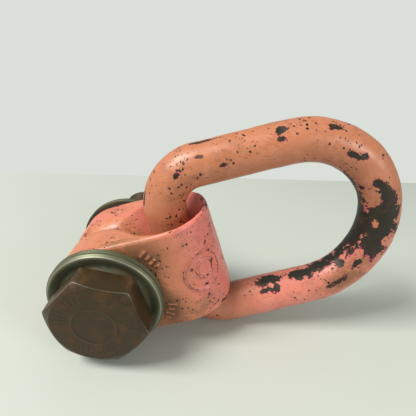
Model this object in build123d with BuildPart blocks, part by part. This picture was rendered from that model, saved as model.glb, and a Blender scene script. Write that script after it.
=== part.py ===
"""Side-load swivel hoist ring, lying on its side.

A forged strap body turns on two ball rows round a flanged bush.
A hex bolt through the bush clamps it to the load, and an oval
round-bar link hinges in the eye of the strap.

Millimetres, +Z up. The origin is the centre of the bush's base face,
and +Y points out of that face along the bolt, into the load.
"""
from build123d import *
import os
from math import cos, radians, sin, sqrt, tan

# How the ring lies
LEAN = 22.4             # strap raised from level, turned about the bolt axis
LINK_DROOP = 2.7        # link hangs lower than the strap's middle
LINK_SWING = 6.1        # link swung towards the base side at rest

# Bolt, with places along it measured from the mid plane between the ears
SHANK_R = 17.75         # plain part inside the bush, and the outside of the M36 thread past it
RELIEF_R = 16.0         # neck where the thread starts, just inside the base face
RELIEF_LENGTH = 3.0
HEAD_FLATS = 55.0
HEAD_TURN = 29.2        # one corner of the head, from the strap's direction
HEAD_SEAT = 40.8
HEAD_FRONT = 57.0
BOLT_END = 93.0
CROWN_ANGLE = 30.0
CROWN_SHARE = 0.95      # flat top of the head, as a share of its width across flats
POINT_CHAMFER = 3.0

# Bush and base flange
BUSH_BORE_R = 17.81
SLEEVE_R = 25.3
FLANGE_R = 36.6
FLANGE_BACK = 31.7
FLANGE_FACE = 38.5
FLANGE_ROUND = 2.4
DISH_R = 31.5
DISH_DEPTH = 1.2
SEAT_R = 26.6
FACE_GAP = 0.1

# Snap ring that holds the base flange, and the ring that keeps the bolt captive
SNAP_POCKET_R = 29.9
SNAP_POCKET_DEPTH = 2.4
SNAP_R = 28.9
SNAP_THICK = 1.5
SNAP_GROOVE_R = 24.1
SNAP_SLOT = 7.0
RETAINER_Y = 18.0
RETAINER_THICK = 2.0
RETAINER_R = 18.8
RETAINER_GROOVE_R = 16.4
RETAINER_ROOM_R = 19.3
RETAINER_ROOM = 8.0
RETAINER_SLOT = 5.0

# Ball rows and dust seals
BALL_R = 3.0
BALL_PITCH_R = 28.8
BALL_COUNT = 28
RACE_R = 3.1
SEAL_IN_R = 32.2
SEAL_OUT_R = 34.0
SEAL_DEPTH = 1.5
SEAL_GAP = 0.15

# Strap body
BODY_BORE_R = 25.36
EAR_FACE = 30.7
EAR_R = 34.4
STRAP_BEND_X = 43.3
STRAP_CORNER_R = 6.0
GROOVE_FLOOR_R = 30.5
GROOVE_HALF_WIDTH = 6.5
EYE_THROAT_R = 15.2
EYE_MOUTH_R = 27.4
SCOOP_START_X = 14.0
SCOOP_FLOOR_X = 33.5
SCOOP_FLOOR_Z = 8.0
SCOOP_TIP_R = 2.0
SCOOP_MOUTH_R = 22.0
OVERCUT = 1.0           # how far a cutting shape runs past the face it opens

# Oval link
BAR_R = 13.7
LINK_AXIS_X = 45.3
LINK_LENGTH = 139.6     # middle of the short bar to middle of the round end
LINK_HALF_WIDTH = 55.5
LINK_CORNER_R = 26.9
LINK_LIFT = 5.0

RACE_Y = (EAR_FACE + FLANGE_BACK) / 2
STRAP_END = STRAP_BEND_X + EAR_FACE
HEAD_CORNER_R = HEAD_FLATS / 2 / cos(radians(30))

# The ring's own directions: x towards the eye, y along the bolt, z through the eye
STRAP_X = Vector(cos(radians(LEAN)), 0, sin(radians(LEAN)))
STRAP_Z = Vector(-sin(radians(LEAN)), 0, cos(radians(LEAN)))
BOLT_Y = Vector(0, 1, 0)
RING = Plane(origin=(0, -FLANGE_FACE, 0), x_dir=STRAP_X, z_dir=STRAP_Z)
BOLT_AXIS = Axis(RING.origin, BOLT_Y)


def placed(local):
    """A plane given in the ring's own directions, set in the row frame."""
    return Plane(RING.location * local.location)


# SECTION holds the bolt axis: u away from the bolt, v along it. SIDE looks along the bolt.
SECTION = placed(Plane.XY)
SIDE = placed(Plane.XZ)


def save(part, name):
    """Label one finished piece and write it to the parts folder."""
    part.label = name
    export_step(part, f"parts/{name}.step")


def turned_ring(r_in, r_out, y_from, y_to, mode=Mode.ADD):
    """Add or cut a square-section ring about the bolt axis."""
    with BuildSketch(SECTION) as square:
        with Locations(((r_in + r_out) / 2, (y_from + y_to) / 2)):
            Rectangle(r_out - r_in, abs(y_to - y_from))
    revolve(square.sketch, axis=BOLT_AXIS, mode=mode)


def turned_profile(points, rim=None):
    """Add the solid that a closed outline makes round the bolt, with an optional rounded rim."""
    with BuildSketch(SECTION) as outline:
        with BuildLine():
            Polyline(*points, close=True)
        make_face()
        if rim:
            fillet(outline.vertices().sort_by_distance(rim)[0], radius=FLANGE_ROUND)
    revolve(outline.sketch, axis=BOLT_AXIS)


def race_groove(side):
    """Cut the ball track that lies halfway between an ear and its flange."""
    with BuildSketch(SECTION) as track:
        with Locations((BALL_PITCH_R, side * RACE_Y)):
            Circle(RACE_R)
    revolve(track.sketch, axis=BOLT_AXIS, mode=Mode.SUBTRACT)


def bush_part():
    """Sleeve and head flange in one: dished face, raised seat, ball track and inner grooves."""
    with BuildPart() as bush:
        turned_profile(
            [
                (BUSH_BORE_R, -HEAD_SEAT + FACE_GAP),
                (SEAT_R, -HEAD_SEAT + FACE_GAP),
                (SEAT_R, -FLANGE_FACE + DISH_DEPTH),
                (DISH_R, -FLANGE_FACE + DISH_DEPTH),
                (DISH_R + DISH_DEPTH, -FLANGE_FACE),
                (FLANGE_R, -FLANGE_FACE),
                (FLANGE_R, -FLANGE_BACK),
                (SLEEVE_R, -FLANGE_BACK),
                (SLEEVE_R, FLANGE_FACE - FACE_GAP),
                (BUSH_BORE_R, FLANGE_FACE - FACE_GAP),
            ],
            rim=(FLANGE_R, -FLANGE_FACE, 0),
        )
        race_groove(-1)
        turned_ring(SEAL_IN_R, SEAL_OUT_R, -FLANGE_BACK - SEAL_DEPTH, -FLANGE_BACK, Mode.SUBTRACT)
        snap_y = FLANGE_FACE - SNAP_POCKET_DEPTH
        turned_ring(SNAP_GROOVE_R, SLEEVE_R, snap_y, snap_y + SNAP_THICK, Mode.SUBTRACT)
        room_y = RETAINER_Y - RETAINER_ROOM / 2
        turned_ring(BUSH_BORE_R, RETAINER_ROOM_R, room_y, room_y + RETAINER_ROOM, Mode.SUBTRACT)
    return bush.part


def base_flange_part():
    """Flange pressed on the sleeve's end, with the base face, a ball track and the snap ring's pocket."""
    pocket_y = FLANGE_FACE - SNAP_POCKET_DEPTH
    with BuildPart() as flange:
        turned_profile(
            [
                (SLEEVE_R, FLANGE_BACK),
                (FLANGE_R, FLANGE_BACK),
                (FLANGE_R, FLANGE_FACE),
                (SNAP_POCKET_R, FLANGE_FACE),
                (SNAP_POCKET_R, pocket_y),
                (SLEEVE_R, pocket_y),
            ],
            rim=(FLANGE_R, FLANGE_FACE, 0),
        )
        race_groove(1)
        turned_ring(SEAL_IN_R, SEAL_OUT_R, FLANGE_BACK, FLANGE_BACK + SEAL_DEPTH, Mode.SUBTRACT)
    return flange.part


def spring_ring_part(r_in, r_out, y_from, thick, slot):
    """Flat spring ring round the bolt axis, with a gap cut through it."""
    with BuildPart() as ring:
        turned_ring(r_in, r_out, y_from, y_from + thick)
        with BuildSketch(SECTION):
            with Locations(((r_in + r_out) / 2, y_from + thick / 2)):
                Rectangle(r_out - r_in + 2 * OVERCUT, thick + 2 * OVERCUT)
        extrude(amount=slot / 2, both=True, mode=Mode.SUBTRACT)
    return ring.part


def seal_part(side):
    """Rubber dust ring that fills its pocket in a flange and stops just short of the ear."""
    with BuildPart() as seal:
        turned_ring(SEAL_IN_R, SEAL_OUT_R, side * (EAR_FACE + SEAL_GAP), side * (FLANGE_BACK + SEAL_DEPTH))
    return seal.part


def ball_row_part(side):
    """One full row of loose steel balls."""
    row = placed(Plane(origin=(0, side * RACE_Y, 0), x_dir=(1, 0, 0), z_dir=(0, 1, 0)))
    with BuildPart(row) as balls:
        with PolarLocations(BALL_PITCH_R, BALL_COUNT):
            Sphere(BALL_R)
    return balls.part


def bolt_part():
    """Hex bolt: chamfered head, plain shank, and past its neck a cylinder for the outside of the thread."""
    seat = placed(Plane(origin=(0, -HEAD_SEAT, 0), x_dir=(1, 0, 0), z_dir=(0, -1, 0)))
    flat_r = HEAD_FLATS / 2 * CROWN_SHARE
    slope = tan(radians(CROWN_ANGLE))
    clear_r = HEAD_CORNER_R + OVERCUT
    with BuildPart() as bolt:
        with BuildSketch(seat):
            RegularPolygon(HEAD_CORNER_R, 6, rotation=-HEAD_TURN)
        extrude(amount=HEAD_FRONT - HEAD_SEAT)
        with BuildSketch(SECTION):
            with BuildLine():
                Polyline(
                    (flat_r, -HEAD_FRONT),
                    (flat_r, -HEAD_FRONT - OVERCUT),
                    (clear_r, -HEAD_FRONT - OVERCUT),
                    (clear_r, -HEAD_FRONT + (clear_r - flat_r) * slope),
                    close=True,
                )
            make_face()
        revolve(axis=BOLT_AXIS, mode=Mode.SUBTRACT)
        turned_profile(
            [
                (0, -HEAD_SEAT),
                (SHANK_R, -HEAD_SEAT),
                (SHANK_R, FLANGE_FACE - RELIEF_LENGTH),
                (RELIEF_R, FLANGE_FACE - RELIEF_LENGTH),
                (RELIEF_R, FLANGE_FACE),
                (SHANK_R, FLANGE_FACE),
                (SHANK_R, BOLT_END - POINT_CHAMFER),
                (SHANK_R - POINT_CHAMFER, BOLT_END),
                (0, BOLT_END),
            ]
        )
        low = RETAINER_Y - RETAINER_THICK / 2
        turned_ring(RETAINER_GROOVE_R, SHANK_R + OVERCUT, low, low + RETAINER_THICK, Mode.SUBTRACT)
    return bolt.part


def strap_outside():
    """Outer shape: round ears seen along the bolt, a U seen along the eye."""
    with BuildSketch(SIDE) as seen_along_bolt:
        with BuildLine():
            ThreePointArc((0, EAR_R), (-EAR_R, 0), (0, -EAR_R))
            FilletPolyline(
                (0, -EAR_R),
                (STRAP_END, -EAR_R),
                (STRAP_END, EAR_R),
                (0, EAR_R),
                radius=STRAP_CORNER_R,
            )
        make_face()
    extrude(seen_along_bolt.sketch, amount=EAR_FACE, both=True)
    with BuildSketch(SECTION) as seen_along_eye:
        with BuildLine():
            Polyline(
                (STRAP_BEND_X, EAR_FACE),
                (-EAR_R - OVERCUT, EAR_FACE),
                (-EAR_R - OVERCUT, -EAR_FACE),
                (STRAP_BEND_X, -EAR_FACE),
            )
            ThreePointArc((STRAP_BEND_X, -EAR_FACE), (STRAP_END, 0), (STRAP_BEND_X, EAR_FACE))
        make_face()
    extrude(seen_along_eye.sketch, amount=EAR_R + OVERCUT, both=True, mode=Mode.INTERSECT)


def ear_groove():
    """Cut the groove in which the two ears meet, round the bolt side."""
    reach = EAR_R + OVERCUT
    with BuildSketch(SECTION) as vee:
        with BuildLine():
            Polyline(
                (GROOVE_FLOOR_R, 0),
                (reach, GROOVE_HALF_WIDTH),
                (reach, -GROOVE_HALF_WIDTH),
                close=True,
            )
        make_face()
    revolve(vee.sketch, axis=BOLT_AXIS, mode=Mode.SUBTRACT)


def eye_bell():
    """Cut the eye: narrow at the middle, flared to a thin rim at both mouths."""
    flare = EYE_MOUTH_R - EYE_THROAT_R
    flare_r = (EAR_R**2 + flare**2) / (2 * flare)
    reach = EAR_R + OVERCUT
    mouth_x = LINK_AXIS_X + EYE_THROAT_R + flare_r - sqrt(flare_r**2 - reach**2)
    with BuildSketch(SIDE) as bell:
        with BuildLine():
            ThreePointArc((mouth_x, -reach), (LINK_AXIS_X + EYE_THROAT_R, 0), (mouth_x, reach))
            Polyline((mouth_x, reach), (LINK_AXIS_X, reach), (LINK_AXIS_X, -reach), (mouth_x, -reach))
        make_face()
    eye_axis = Axis(RING.from_local_coords(Vector(LINK_AXIS_X, 0, 0)), STRAP_Z)
    revolve(bell.sketch, axis=eye_axis, mode=Mode.SUBTRACT)


def eye_scoop(way):
    """Cut the slope that leads from the groove down into the eye, on the top or the bottom."""
    outlines = (
        (way * (EAR_R + OVERCUT), SCOOP_MOUTH_R, SCOOP_START_X),
        (way * SCOOP_FLOOR_Z, EYE_THROAT_R - OVERCUT, SCOOP_FLOOR_X),
    )
    drops = []
    for height, round_r, tip_x in outlines:
        with BuildSketch(placed(Plane.XY.offset(height))) as drop:
            with Locations((LINK_AXIS_X, 0)):
                Circle(round_r)
            with Locations((tip_x, 0)):
                Circle(SCOOP_TIP_R)
            make_hull()
        drops.append(drop.sketch)
    loft(drops, mode=Mode.SUBTRACT)


def strap_body_part():
    """Forging: two ears joined through the bent strap, with its bore, ball tracks and eye."""
    with BuildPart() as body:
        strap_outside()
        ear_groove()
        eye_bell()
        eye_scoop(1)
        eye_scoop(-1)
        turned_ring(0, BODY_BORE_R, -EAR_FACE - OVERCUT, EAR_FACE + OVERCUT, Mode.SUBTRACT)
        race_groove(-1)
        race_groove(1)
    return body.part


def link_part():
    """Round bar bent to an oval: swept for one half and mirrored for the other."""
    droop = radians(LINK_DROOP)
    swing = radians(LINK_SWING)
    level = STRAP_X * cos(droop) - STRAP_Z * sin(droop)
    hinge = STRAP_X * sin(droop) + STRAP_Z * cos(droop)
    long_way = level * cos(swing) + BOLT_Y * sin(swing)
    centre = RING.from_local_coords(Vector(LINK_AXIS_X, 0, LINK_LIFT))
    flat = Plane(origin=centre, x_dir=long_way, z_dir=long_way.cross(hinge))
    start = Plane(origin=centre, x_dir=long_way, z_dir=hinge)
    bend_x = LINK_LENGTH - LINK_HALF_WIDTH
    with BuildPart() as link:
        with BuildLine(flat):
            Line((0, 0), (0, LINK_HALF_WIDTH - LINK_CORNER_R))
            RadiusArc(
                (0, LINK_HALF_WIDTH - LINK_CORNER_R),
                (LINK_CORNER_R, LINK_HALF_WIDTH),
                LINK_CORNER_R,
            )
            Line((LINK_CORNER_R, LINK_HALF_WIDTH), (bend_x, LINK_HALF_WIDTH))
            RadiusArc((bend_x, LINK_HALF_WIDTH), (LINK_LENGTH, 0), LINK_HALF_WIDTH)
        with BuildSketch(start):
            Circle(BAR_R)
        sweep()
        mirror(about=start)
    return link.part


os.makedirs("parts", exist_ok=True)

save(bush_part(), "bush")
save(base_flange_part(), "base_flange")
save(
    spring_ring_part(SNAP_GROOVE_R, SNAP_R, FLANGE_FACE - SNAP_POCKET_DEPTH, SNAP_THICK, SNAP_SLOT),
    "snap_ring",
)
save(seal_part(-1), "head_seal")
save(seal_part(1), "base_seal")
save(ball_row_part(-1), "head_balls")
save(ball_row_part(1), "base_balls")
save(bolt_part(), "bolt")
save(
    spring_ring_part(
        RETAINER_GROOVE_R, RETAINER_R, RETAINER_Y - RETAINER_THICK / 2, RETAINER_THICK, RETAINER_SLOT
    ),
    "bolt_retainer",
)
save(strap_body_part(), "strap_body")
save(link_part(), "link")
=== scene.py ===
"""Swivel hoist ring, finished look.

A chipped coral-pink forging on a plated ball-bearing bush, held by a
blackened hex bolt, with a worn oval link in its eye. Shapes are worked
out in millimetres in the ring's own directions, then set in the row
frame, which is in metres.
"""

import logging
import math
from dataclasses import dataclass
from enum import Enum
from typing import Callable, Sequence

import bpy
import numpy as np
from mathutils import Matrix, Vector, noise


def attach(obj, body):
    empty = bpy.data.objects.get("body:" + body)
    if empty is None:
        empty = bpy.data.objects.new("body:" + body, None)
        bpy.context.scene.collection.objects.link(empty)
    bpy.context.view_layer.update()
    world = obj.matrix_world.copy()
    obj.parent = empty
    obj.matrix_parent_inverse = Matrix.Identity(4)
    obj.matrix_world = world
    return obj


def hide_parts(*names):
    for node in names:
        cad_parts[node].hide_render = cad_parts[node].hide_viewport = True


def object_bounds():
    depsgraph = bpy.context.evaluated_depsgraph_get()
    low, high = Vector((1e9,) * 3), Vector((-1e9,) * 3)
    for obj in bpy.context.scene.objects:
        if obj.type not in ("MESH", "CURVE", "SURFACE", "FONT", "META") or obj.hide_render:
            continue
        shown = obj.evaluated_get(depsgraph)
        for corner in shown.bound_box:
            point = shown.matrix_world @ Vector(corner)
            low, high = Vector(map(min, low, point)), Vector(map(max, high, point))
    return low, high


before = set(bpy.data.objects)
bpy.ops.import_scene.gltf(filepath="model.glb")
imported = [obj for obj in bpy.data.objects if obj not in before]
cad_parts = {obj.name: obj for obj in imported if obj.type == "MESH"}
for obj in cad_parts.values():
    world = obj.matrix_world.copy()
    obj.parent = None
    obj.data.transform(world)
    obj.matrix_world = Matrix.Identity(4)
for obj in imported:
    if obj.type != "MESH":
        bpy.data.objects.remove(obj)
CAD_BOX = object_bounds()

log = logging.getLogger("hoist_ring")
Distance = Callable[[np.ndarray], np.ndarray]
Colour = tuple[float, float, float]
Socket = bpy.types.NodeSocket
Mesh = tuple[np.ndarray, list[tuple[int, ...]]]
MM = 0.001
FULL_TURN = 2 * math.pi


# ---------------------------------------------------------------- ring geometry

@dataclass(frozen=True)
class RingAxes:
    """The ring's own directions: x towards the eye, y along the bolt, z through the eye."""

    lean: float = math.radians(22.4)
    mid_plane: float = -38.5

    def matrix(self) -> np.ndarray:
        """Columns are the ring's directions in the row frame."""
        c, s = math.cos(self.lean), math.sin(self.lean)
        return np.array([[c, 0.0, -s], [0.0, 1.0, 0.0], [s, 0.0, c]])

    def to_row(self, points: np.ndarray) -> np.ndarray:
        """Move points from the ring's millimetres to the row frame.

        Args:
            points: N by 3 array in ring directions, millimetres from the mid plane's centre.

        Returns:
            N by 3 array in the row frame, metres.
        """
        return (points @ self.matrix().T + np.array([0.0, self.mid_plane, 0.0])) * MM


@dataclass(frozen=True)
class LinkAxes:
    """The oval link's directions, from its hinge in the eye."""

    ring: RingAxes
    axis_x: float = 45.3
    lift: float = 5.0
    droop: float = math.radians(2.7)
    swing: float = math.radians(6.1)

    def to_ring(self, points: np.ndarray) -> np.ndarray:
        """Move points from the link's own directions to the ring's.

        Args:
            points: N by 3 array: along the link, towards the bolt head, along the short bar.

        Returns:
            N by 3 array in ring directions.
        """
        level = np.array([math.cos(self.droop), 0.0, -math.sin(self.droop)])
        hinge = np.array([math.sin(self.droop), 0.0, math.cos(self.droop)])
        long_way = level * math.cos(self.swing) + np.array([0.0, math.sin(self.swing), 0.0])
        to_head = np.cross(long_way, hinge)
        centre = np.array([self.axis_x, 0.0, self.lift])
        return centre + points @ np.stack([long_way, to_head, hinge])


# ---------------------------------------------------------------- mesh tools

def round_max(a: np.ndarray, b: np.ndarray, radius: float) -> np.ndarray:
    """Intersect two distance fields with a rounded edge.

    Args:
        a: First distance, negative inside.
        b: Second distance.
        radius: Radius of the edge where the two meet.

    Returns:
        The joined distance.
    """
    over = np.hypot(np.maximum(a + radius, 0), np.maximum(b + radius, 0))
    return np.minimum(-radius, np.maximum(a, b)) + over


def slopes(distance: Distance, points: np.ndarray, step: float) -> np.ndarray:
    """Measure a distance field's gradient by central differences.

    Args:
        distance: The field.
        points: N by 3 array of places.
        step: Half the width of each difference.

    Returns:
        N by 3 array of gradients.
    """
    found = np.empty_like(points)
    for axis in range(3):
        shift = np.zeros(3)
        shift[axis] = step
        found[:, axis] = (distance(points + shift) - distance(points - shift)) / (2 * step)
    return found


def net_surface(distance: Distance, low: Sequence[float], high: Sequence[float], cell: float) -> Mesh:
    """Wrap a quad mesh round the inside of a distance field.

    One vertex goes in each grid cell that the surface crosses, and one quad
    round each grid edge that it cuts. The vertices are then pulled on to
    the surface.

    Args:
        distance: The field, negative inside the solid.
        low: Lowest corner of the grid.
        high: Highest corner of the grid.
        cell: Grid spacing.

    Returns:
        Vertices and quads.
    """
    axes = [np.arange(a, b + cell, cell) for a, b in zip(low, high)]
    shape = tuple(len(a) for a in axes)
    grid = np.stack(np.meshgrid(*axes, indexing="ij"), -1)
    depth = np.concatenate([distance(slab.reshape(-1, 3)) for slab in grid]).reshape(shape)
    cells = tuple(n - 1 for n in shape)
    total = np.zeros(cells + (3,))
    count = np.zeros(cells)
    cuts = []
    for axis in range(3):
        near = [slice(None)] * 3
        far = [slice(None)] * 3
        near[axis] = slice(0, -1)
        far[axis] = slice(1, None)
        d0, d1 = depth[tuple(near)], depth[tuple(far)]
        cut = (d0 < 0) != (d1 < 0)
        cuts.append((cut, d0 < 0))
        share = np.where(cut, d0 / np.where(cut, d0 - d1, 1.0), 0.0)
        place = grid[tuple(near)].copy()
        place[..., axis] += share * cell
        others = [i for i in range(3) if i != axis]
        for side_a in (0, 1):
            for side_b in (0, 1):
                pick = [slice(None)] * 3
                for other, side in zip(others, (side_a, side_b)):
                    pick[other] = slice(side, cells[other] + side)
                hit = cut[tuple(pick)]
                total += place[tuple(pick)] * hit[..., None]
                count += hit
    live = count > 0
    number = np.full(cells, -1)
    number[live] = np.arange(live.sum())
    points = total[live] / count[live][:, None]
    quads = []
    for axis, (cut, starts_inside) in enumerate(cuts):
        u, v = [(1, 2), (2, 0), (0, 1)][axis]
        places = np.argwhere(cut)
        inner = (places[:, u] > 0) & (places[:, v] > 0)
        inner &= (places[:, u] < cells[u]) & (places[:, v] < cells[v])
        places = places[inner]
        corners = []
        for du, dv in ((-1, -1), (0, -1), (0, 0), (-1, 0)):
            at = places.copy()
            at[:, u] += du
            at[:, v] += dv
            corners.append(number[at[:, 0], at[:, 1], at[:, 2]])
        quad = np.stack(corners, 1)
        outward = starts_inside[tuple(places.T)]
        quad[~outward] = quad[~outward][:, ::-1]
        quads.append(quad)
    for _ in range(3):
        slope = slopes(distance, points, cell * 0.2)
        steep = np.maximum((slope**2).sum(1), 0.2)
        step = distance(points) / steep
        points -= slope * np.clip(step, -cell / 2, cell / 2)[:, None]
    return points, [tuple(q) for q in np.concatenate(quads).tolist()]


def rounded_line(points: Sequence[tuple[float, float, float]], arc_steps: int = 5) -> np.ndarray:
    """Round an open outline's corners.

    Args:
        points: (u, v, corner radius) for each point. The ends keep their place.
        arc_steps: Number of spans in each rounded corner.

    Returns:
        K by 2 array, with the same K for the same number of points.
    """
    line = [points[0][:2]]
    for before, here, after in zip(points, points[1:], points[2:]):
        corner = np.array(here[:2])
        back = np.array(before[:2]) - corner
        on = np.array(after[:2]) - corner
        back_len, on_len = np.linalg.norm(back), np.linalg.norm(on)
        back, on = back / back_len, on / on_len
        half = math.acos(float(np.clip(back @ on, -1, 1))) / 2
        reach = min(here[2] / max(math.tan(half), 1e-6), back_len * 0.45, on_len * 0.45)
        start, end = corner + back * reach, corner + on * reach
        for i in range(arc_steps + 1):
            t = i / arc_steps
            line.append(tuple(start * (1 - t) ** 2 + corner * 2 * t * (1 - t) + end * t**2))
    line.append(points[-1][:2])
    return np.array(line)


def spread(line: np.ndarray, longest: float) -> np.ndarray:
    """Divide an outline's long spans so that none is longer than a given length.

    Args:
        line: The outline.
        longest: The longest span to leave.

    Returns:
        The outline with the added points.
    """
    out = [line[0]]
    for a, b in zip(line, line[1:]):
        pieces = max(1, math.ceil(float(np.linalg.norm(b - a)) / longest))
        out.extend(a + (b - a) * (i / pieces) for i in range(1, pieces + 1))
    return np.array(out)


def wrap_faces(rows: int, columns: int, close_rows: bool) -> list[tuple[int, ...]]:
    """Quads of a grid whose columns close on themselves, and whose rows may too.

    Args:
        rows: Number of rows.
        columns: Number of points in each row.
        close_rows: Whether the last row joins the first.

    Returns:
        Vertex numbers of each quad.
    """
    faces = []
    for i in range(rows if close_rows else rows - 1):
        a, b = i * columns, (i + 1) % rows * columns
        for j in range(columns):
            k = (j + 1) % columns
            faces.append((a + j, a + k, b + k, b + j))
    return faces


def turned(line: np.ndarray, segments: int) -> Mesh:
    """Turn a closed outline round the bolt axis.

    Args:
        line: K by 2 outline, (radius, place along the bolt), counter-clockwise
            with radius to the right and the bolt's direction up.
        segments: Number of steps round the axis.

    Returns:
        Vertices in ring directions, and quads.
    """
    angle = np.arange(segments) * FULL_TURN / segments
    x = line[:, :1] * np.cos(angle)
    z = line[:, :1] * np.sin(angle)
    y = np.repeat(line[:, 1:], segments, 1)
    points = np.stack([x, y, z], -1).reshape(-1, 3)
    return points, wrap_faces(len(line), segments, True)


def roughen(points: np.ndarray, normals: np.ndarray, bands: Sequence[tuple[float, float]]) -> np.ndarray:
    """Push a surface in and out by smooth noise.

    Args:
        points: N by 3 array in millimetres.
        normals: Outward directions.
        bands: (size of the bumps, height), in millimetres.

    Returns:
        The moved points.
    """
    height = np.zeros(len(points))
    for size, amount in bands:
        height += amount * np.array([noise.noise(Vector(p)) for p in (points / size).tolist()])
    return points + normals * height[:, None]


def bump_at(value: np.ndarray, middle: float, reach: float) -> np.ndarray:
    """1 at the middle, falling off smoothly over the reach."""
    return np.exp(-(((value - middle) / reach) ** 2))


class Body(Enum):
    """The CAD bodies that pieces ride on."""

    BASE = "base"
    BOLT = "bolt"
    STRAP = "strap"
    LINK = "link"


@dataclass(frozen=True)
class Placing:
    """Which CAD body, node and material slot a finished piece stands for."""

    body: Body
    node: str
    slot: str


def add_piece(name: str, mesh: Mesh, placing: Placing, masks: dict[str, np.ndarray]) -> bpy.types.Object:
    """Make a piece's object, tie it to its CAD node and report it.

    Args:
        name: The piece's name.
        mesh: Vertices in the row frame, and faces.
        placing: What it stands for.
        masks: Values for each vertex, stored under their names.

    Returns:
        The new object.
    """
    points, faces = mesh
    data = bpy.data.meshes.new(name)
    data.from_pydata(points.tolist(), [], faces)
    for label, values in masks.items():
        layer = data.attributes.new(label, "FLOAT", "POINT")
        layer.data.foreach_set("value", values.astype(np.float32))
    data.shade_smooth()
    data.update()
    piece = bpy.data.objects.new(name, data)
    bpy.context.scene.collection.objects.link(piece)
    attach(piece, placing.body.value)
    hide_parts(placing.node)
    log.info("%s: %d vertices on %s", name, len(points), placing.body.value)
    return piece


# ---------------------------------------------------------------- shader tools

class Sheet:
    """A node tree with short calls for the nodes that the finishes use."""

    def __init__(self, tree: bpy.types.NodeTree) -> None:
        """Start on a tree.

        Args:
            tree: The material's or group's node tree.
        """
        self.tree = tree

    def node(self, kind: str, settings: dict | None = None, inputs: dict | None = None) -> bpy.types.Node:
        """Add a node.

        Args:
            kind: Blender's type name.
            settings: Properties to set.
            inputs: Socket name or number to a value, or to a socket to link from.

        Returns:
            The node.
        """
        made = self.tree.nodes.new(kind)
        for key, value in (settings or {}).items():
            setattr(made, key, value)
        for key, value in (inputs or {}).items():
            self.feed(made.inputs[key], value)
        return made

    def feed(self, socket: Socket, value: object) -> None:
        """Link a socket from another, or set its value.

        Args:
            socket: The input to feed.
            value: A value, or a socket to link from.
        """
        if isinstance(value, Socket):
            self.tree.links.new(value, socket)
        elif isinstance(value, tuple) and len(value) == 3 and socket.type == "RGBA":
            socket.default_value = (*value, 1.0)
        else:
            socket.default_value = value

    def math(self, operation: str, a: object, b: object = 0.0, clamp: bool = False) -> Socket:
        """A math node's result."""
        made = self.node("ShaderNodeMath", {"operation": operation, "use_clamp": clamp}, {0: a, 1: b})
        return made.outputs[0]

    def step(self, value: object, low: float, high: float) -> Socket:
        """Step smoothly from 0 to 1. High may be the smaller.

        Args:
            value: What to compare.
            low: Where the result is 0.
            high: Where the result is 1.

        Returns:
            The smoothed step, from 0 to 1.
        """
        settings = {"interpolation_type": "SMOOTHSTEP"}
        if low <= high:
            return self.node("ShaderNodeMapRange", settings, {0: value, 1: low, 2: high}).outputs[0]
        down = {0: value, 1: high, 2: low, 3: 1.0, 4: 0.0}
        return self.node("ShaderNodeMapRange", settings, down).outputs[0]

    def mix(self, share: object, a: object, b: object, blend: str = "MIX") -> Socket:
        """Blend two colours.

        Args:
            share: How much of the second shows.
            a: The first colour.
            b: The second colour.
            blend: Blender's blend type.

        Returns:
            The blended colour.
        """
        made = self.node("ShaderNodeMix", {"data_type": "RGBA", "blend_type": blend})
        self.feed(made.inputs[0], share)
        self.feed(made.inputs[6], a)
        self.feed(made.inputs[7], b)
        return made.outputs[2]

    def lerp(self, share: object, a: object, b: object) -> Socket:
        """Blend two numbers."""
        return self.node("ShaderNodeMix", {"data_type": "FLOAT"}, {0: share, 2: a, 3: b}).outputs[0]

    def noise(self, place: object, scale: float, detail: float = 4.0, rough: float = 0.55) -> Socket:
        """Cloudy noise, 0 to 1, with scale in cycles per metre."""
        inputs = {"Vector": place, "Scale": scale, "Detail": detail, "Roughness": rough}
        return self.node("ShaderNodeTexNoise", None, inputs).outputs[0]

    def mask(self, label: str) -> Socket:
        """A value stored on the mesh."""
        return self.node("ShaderNodeAttribute", {"attribute_name": label}).outputs["Fac"]

    def place(self) -> Socket:
        """The point's place on the piece."""
        return self.node("ShaderNodeTexCoord").outputs["Object"]

    def group(self, tree: bpy.types.NodeTree, inputs: dict) -> bpy.types.Node:
        """Add a group node with its inputs."""
        return self.node("ShaderNodeGroup", {"node_tree": tree}, inputs)

    def bump(self, height: object, strength: float, reach: float) -> Socket:
        """A normal from a height."""
        inputs = {"Height": height, "Strength": strength, "Distance": reach}
        return self.node("ShaderNodeBump", None, inputs).outputs[0]


def start_group(name: str, inputs: Sequence[tuple[str, str]], outputs: Sequence[tuple[str, str]]) -> tuple:
    """Make an empty shader group.

    Args:
        name: The group's name.
        inputs: (name, kind) for each input, where kind is Float, Color or Vector.
        outputs: The same for each output.

    Returns:
        The group, its sheet, its input node and its output node.
    """
    tree = bpy.data.node_groups.new(name, "ShaderNodeTree")
    for way, sockets in (("INPUT", inputs), ("OUTPUT", outputs)):
        for label, kind in sockets:
            tree.interface.new_socket(name=label, in_out=way, socket_type=f"NodeSocket{kind}")
    sheet = Sheet(tree)
    return tree, sheet, sheet.node("NodeGroupInput"), sheet.node("NodeGroupOutput")


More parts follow.
